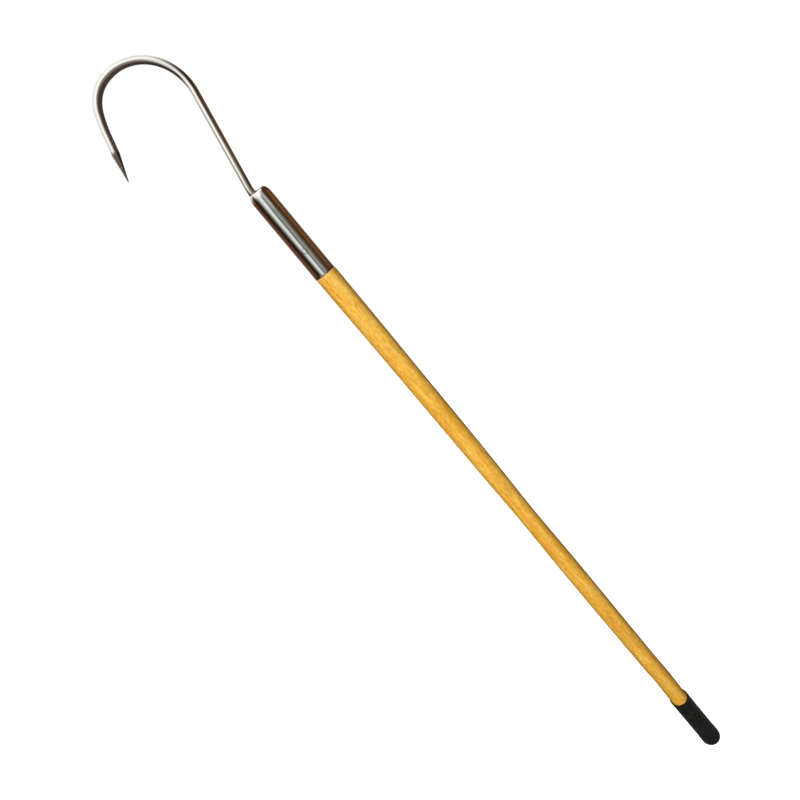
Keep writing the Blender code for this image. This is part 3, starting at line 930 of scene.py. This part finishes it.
def tack_oxide_and_painted_shade():
    """Black oxide, darkened further to near black with almost no shine, which paints the shade of
    the recess it is sunk in.
    """
    material, nodes, surface = new_material("blackened_tack_painted_shade")
    grain = nodes.noise(nodes.place((1500.0, 1500.0, 1500.0)), 1.0, 3.0)
    # Painted shade: far darker than the rubber round it, for the shade in the tack's recess
    colour = nodes.ramp(grain, [(0.3, (0.0004, 0.0004, 0.0005)), (0.7, (0.0015, 0.0015, 0.0017))])
    nodes.link(colour, surface.inputs["Base Color"])
    nodes.link(nodes.span(grain, 0.3, 0.7, 0.55, 0.75), surface.inputs["Roughness"])
    nodes.link(nodes.bump(grain, 0.4, 0.0001), surface.inputs["Normal"])
    surface.inputs["Specular IOR Level"].default_value = 0.02
    return material


def bedding_resin():
    material, nodes, surface = new_material("cured_bedding_resin")
    clouds = nodes.noise(nodes.place((300.0, 300.0, 300.0)), 1.0, 3.0)
    colour = nodes.ramp(clouds, [(0.3, (0.42, 0.30, 0.13)), (0.7, (0.60, 0.47, 0.24))])
    nodes.link(colour, surface.inputs["Base Color"])
    nodes.link(nodes.span(clouds, 0.3, 0.7, 0.35, 0.55), surface.inputs["Roughness"])
    return material


# ---------------------------------------------------------------- studio

CAMERA_DISTANCE = 656.0 * MM         # from the pole's axis
CAMERA_HEIGHT = 1003.6 * MM
CAMERA_DOWN = radians(19.43)
CAMERA_TURN = radians(2.41)          # towards -X
CAMERA_ROLL = radians(-40.59)
CAMERA_LENS = 27.0                   # mm, on a sensor 36 mm wide
FLOOR_GLOW = 1.0
KEY_POWER = 71.0
BACK_POWER = 34.0
LIGHTS_AIM = (0.0, 0.0, 0.65)
AMBIENT_BELOW = 0.02
AMBIENT_ABOVE = 0.15


def make_camera():
    data = bpy.data.cameras.new("camera")
    data.lens = CAMERA_LENS
    data.sensor_width = 36.0
    data.clip_start = 0.01
    camera = bpy.data.objects.new("camera", data)
    bpy.context.scene.collection.objects.link(camera)
    camera.matrix_world = (Matrix.Translation((0.0, -CAMERA_DISTANCE, CAMERA_HEIGHT))
                           @ Matrix.Rotation(CAMERA_TURN, 4, "Z")
                           @ Matrix.Rotation(pi / 2 - CAMERA_DOWN, 4, "X")
                           @ Matrix.Rotation(CAMERA_ROLL, 4, "Z"))
    bpy.context.scene.camera = camera


def make_floor():
    """White and even under the object; polished pieces mirror the studio instead of it."""
    bm = bmesh.new()
    bmesh.ops.create_grid(bm, x_segments=1, y_segments=1, size=30.0)
    floor = mesh_object("floor", bm)
    floor.location.z = -0.2 * MM
    material, _, surface = new_material("pale_floor")
    surface.inputs["Base Color"].default_value = (0.8, 0.8, 0.8, 1.0)
    surface.inputs["Roughness"].default_value = 0.9
    surface.inputs["Specular IOR Level"].default_value = 0.0
    surface.inputs["Emission Color"].default_value = (1.0, 1.0, 1.0, 1.0)
    surface.inputs["Emission Strength"].default_value = FLOOR_GLOW
    floor.data.materials.append(material)
    floor.visible_glossy = False
    floor.visible_diffuse = False


def soft_box(name, size, power, location):
    data = bpy.data.lights.new(name, "AREA")
    data.shape = "DISK"
    data.size = size
    data.energy = power
    light = bpy.data.objects.new(name, data)
    bpy.context.scene.collection.objects.link(light)
    light.location = location
    light.rotation_mode = "QUATERNION"
    beam = Vector(LIGHTS_AIM) - light.location
    light.rotation_quaternion = beam.to_track_quat("-Z", "Y")
    light.visible_glossy = False


def make_lights():
    """A large soft box in front, a little to the point's side, and two weaker ones behind."""
    soft_box("key_soft_box", 1.0, KEY_POWER, (-0.55, -2.40, 1.05))
    soft_box("back_soft_box_left", 1.2, BACK_POWER, (-1.25, 2.10, 1.20))
    soft_box("back_soft_box_right", 1.2, BACK_POWER, (1.25, 2.10, 1.20))


# The studio that polished steel mirrors, by degrees round from the front, + towards +X.
# How many degrees above eye level its bright part begins:
BRIGHT_FROM = [
    (-180, 4), (-148, 12), (-128, 4), (-113, 14), (-98, 16), (-83, 29), (-70, 13), (-56, 0),
    (-38, -6), (-23, -9), (-10, -7), (0, -1), (8, 9), (22, 18), (37, 29), (52, 38), (67, 43),
    (85, 43), (112, 41), (148, 30), (180, 4),
]
# How bright that part is:
BRIGHT_LEVEL = [
    (-180, 0.90), (-132, 0.92), (-114, 0.68), (-98, 0.75), (-83, 0.66), (-66, 0.90),
    (-45, 1.00), (20, 1.00), (60, 0.78), (130, 0.70), (180, 0.90),
]
# Its colours, from this many degrees below its edge to as many above:
EDGE_SPREAD = 18.0
EDGE_COLOURS = [
    (0.00, (0.10, 0.066, 0.045)), (0.22, (0.20, 0.155, 0.12)), (0.50, (0.64, 0.59, 0.54)),
    (0.74, (1.25, 1.23, 1.17)), (1.00, (1.52, 1.51, 1.48)),
]
# How bright the lit floor below it is, and its colours from straight down to eye level:
FLOOR_LEVEL = [
    (-180, 0.40), (-158, 0.30), (-140, 0.03), (-75, 0.03), (-55, 0.20), (-38, 0.42),
    (-20, 0.44), (5, 0.44), (22, 0.16), (40, 0.05), (140, 0.03), (158, 0.30), (180, 0.40),
]
FLOOR_COLOURS = [
    (0.00, (0.14, 0.12, 0.10)), (0.12, (0.09, 0.075, 0.06)), (0.25, (0.30, 0.26, 0.22)),
    (0.36, (0.62, 0.56, 0.50)), (0.44, (1.0, 0.93, 0.86)), (0.5, (1.0, 0.95, 0.90)),
    (0.56, (0.0, 0.0, 0.0)),
]
# And a strip at eye level, with a dark flag at each side and a thin one in front:
EYE_LEVEL = [
    (-180, (0.60, 0.58, 0.54)), (-152, (0.40, 0.36, 0.32)), (-140, (0.13, 0.055, 0.034)),
    (-118, (0.25, 0.095, 0.065)), (-100, (0.14, 0.057, 0.037)), (-86, (0.028, 0.015, 0.008)),
    (-66, (0.035, 0.030, 0.022)), (-56, (0.16, 0.17, 0.14)), (-45, (0.52, 0.55, 0.52)),
    (-36, (1.00, 1.05, 1.05)), (-20, (1.15, 1.20, 1.22)), (-10, (0.50, 0.53, 0.53)),
    (-4, (0.20, 0.21, 0.22)), (3, (0.18, 0.20, 0.20)), (9, (0.48, 0.50, 0.47)),
    (20, (0.40, 0.40, 0.37)), (34, (0.24, 0.23, 0.19)), (46, (0.12, 0.10, 0.065)),
    (60, (0.070, 0.042, 0.018)), (74, (0.105, 0.052, 0.021)), (88, (0.24, 0.105, 0.040)),
    (120, (0.17, 0.073, 0.032)), (142, (0.10, 0.045, 0.022)), (154, (0.40, 0.36, 0.32)),
    (180, (0.60, 0.58, 0.54)),
]


def turn_share(degrees):
    """Where a direction round the studio lies between its back (0), front (0.5) and back (1)."""
    return (degrees + 180.0) / 360.0


def rise_share(degrees):
    """Where a height lies between straight down (0), eye level (0.5) and straight up (1)."""
    return (degrees + 90.0) / 180.0


def grey(level):
    return (level, level, level)


def round_ramp(nodes, turn, stops):
    """A colour by degrees round from the front."""
    return nodes.ramp(turn, [(turn_share(degrees), colour) for degrees, colour in stops])


def bright_part(nodes, turn, rise):
    """The lit upper part of the studio, which darkens towards its lower edge."""
    start = round_ramp(nodes, turn, [(at, grey(rise_share(up))) for at, up in BRIGHT_FROM])
    above = nodes.math("SUBTRACT", rise, start)
    above = nodes.span(above, -EDGE_SPREAD / 180.0, EDGE_SPREAD / 180.0, 0.0, 1.0)
    colour = nodes.ramp(above, EDGE_COLOURS)
    level = round_ramp(nodes, turn, [(at, grey(level)) for at, level in BRIGHT_LEVEL])
    return nodes.mix(1.0, colour, level, "MULTIPLY")


def lit_floor(nodes, turn, rise):
    """The studio's lit floor, which fades out just above eye level."""
    level = round_ramp(nodes, turn, [(at, grey(level)) for at, level in FLOOR_LEVEL])
    return nodes.mix(1.0, nodes.ramp(rise, FLOOR_COLOURS), level, "MULTIPLY")


def eye_level_strip(nodes, turn, rise):
    """The strip's colours, drawn together a little towards their middle below eye level."""
    pinch = nodes.span(rise, rise_share(-6.0), rise_share(1.0), 0.2, 0.0)
    middle = turn_share(-10.0)
    limit = 10.0 / 360.0
    shift = nodes.math("MULTIPLY", nodes.math("SUBTRACT", turn, middle), pinch)
    shift = nodes.math("MINIMUM", nodes.math("MAXIMUM", shift, -limit), limit)
    return round_ramp(nodes, nodes.math("ADD", turn, shift), EYE_LEVEL)


def studio_reflection(nodes):
    """Colour in every direction of the studio that polished steel mirrors."""
    way = nodes.axes(nodes.add("ShaderNodeTexCoord").outputs["Generated"])
    front = nodes.math("MULTIPLY", way["Y"], -1.0)
    turn = nodes.math("ARCTAN2", way["X"], front)
    turn = nodes.span(turn, -pi, pi, 0.0, 1.0)
    rise = nodes.math("ARCSINE", way["Z"], 0.0)
    rise = nodes.span(rise, -pi / 2, pi / 2, 0.0, 1.0)
    colour = nodes.mix(1.0, bright_part(nodes, turn, rise), lit_floor(nodes, turn, rise),
                       "LIGHTEN")
    over = nodes.span(rise, rise_share(12.0), rise_share(3.0), 0.0, 1.0)
    under = nodes.span(rise, rise_share(-7.0), rise_share(-5.0), 0.0, 1.0)
    strip = eye_level_strip(nodes, turn, rise)
    return nodes.mix(nodes.math("MULTIPLY", over, under), colour, strip)


def make_world():
    """White to look at, with a dim even light and the studio that polished pieces mirror."""
    world = bpy.data.worlds.new("studio")
    bpy.context.scene.world = world
    world.use_nodes = True
    nodes = Nodes(world.node_tree)
    world.node_tree.nodes.clear()
    output = nodes.add("ShaderNodeOutputWorld")
    reflected = nodes.add("ShaderNodeBackground")
    nodes.link(studio_reflection(nodes), reflected.inputs["Color"])
    seen = nodes.add("ShaderNodeBackground")
    seen.inputs["Strength"].default_value = 1.05
    seen.inputs["Color"].default_value = (1.0, 1.0, 1.0, 1.0)
    up = nodes.axes(nodes.add("ShaderNodeTexCoord").outputs["Generated"])["Z"]
    ambient = nodes.add("ShaderNodeBackground")
    ambient.inputs["Color"].default_value = (1.0, 0.98, 0.95, 1.0)
    nodes.link(nodes.span(up, -0.6, 1.0, AMBIENT_BELOW, AMBIENT_ABOVE),
               ambient.inputs["Strength"])
    path = nodes.add("ShaderNodeLightPath")
    other = nodes.add("ShaderNodeMixShader")
    nodes.link(path.outputs["Is Glossy Ray"], other.inputs["Fac"])
    nodes.link(ambient.outputs[0], other.inputs[1])
    nodes.link(reflected.outputs[0], other.inputs[2])
    final = nodes.add("ShaderNodeMixShader")
    nodes.link(path.outputs["Is Camera Ray"], final.inputs["Fac"])
    nodes.link(other.outputs[0], final.inputs[1])
    nodes.link(seen.outputs[0], final.inputs[2])
    nodes.link(final.outputs[0], output.inputs["Surface"])


# ---------------------------------------------------------------- build

make_hook()
make_weld()
make_ferrule()
make_end_plate()
make_rivet()
make_pole()
make_cap()
make_tack()
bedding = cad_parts["tang_bedding"]
bedding.data.materials.clear()
bedding.data.materials.append(bedding_resin())

make_camera()
make_floor()
make_lights()
make_world()
bpy.context.scene.view_settings.view_transform = "Standard"
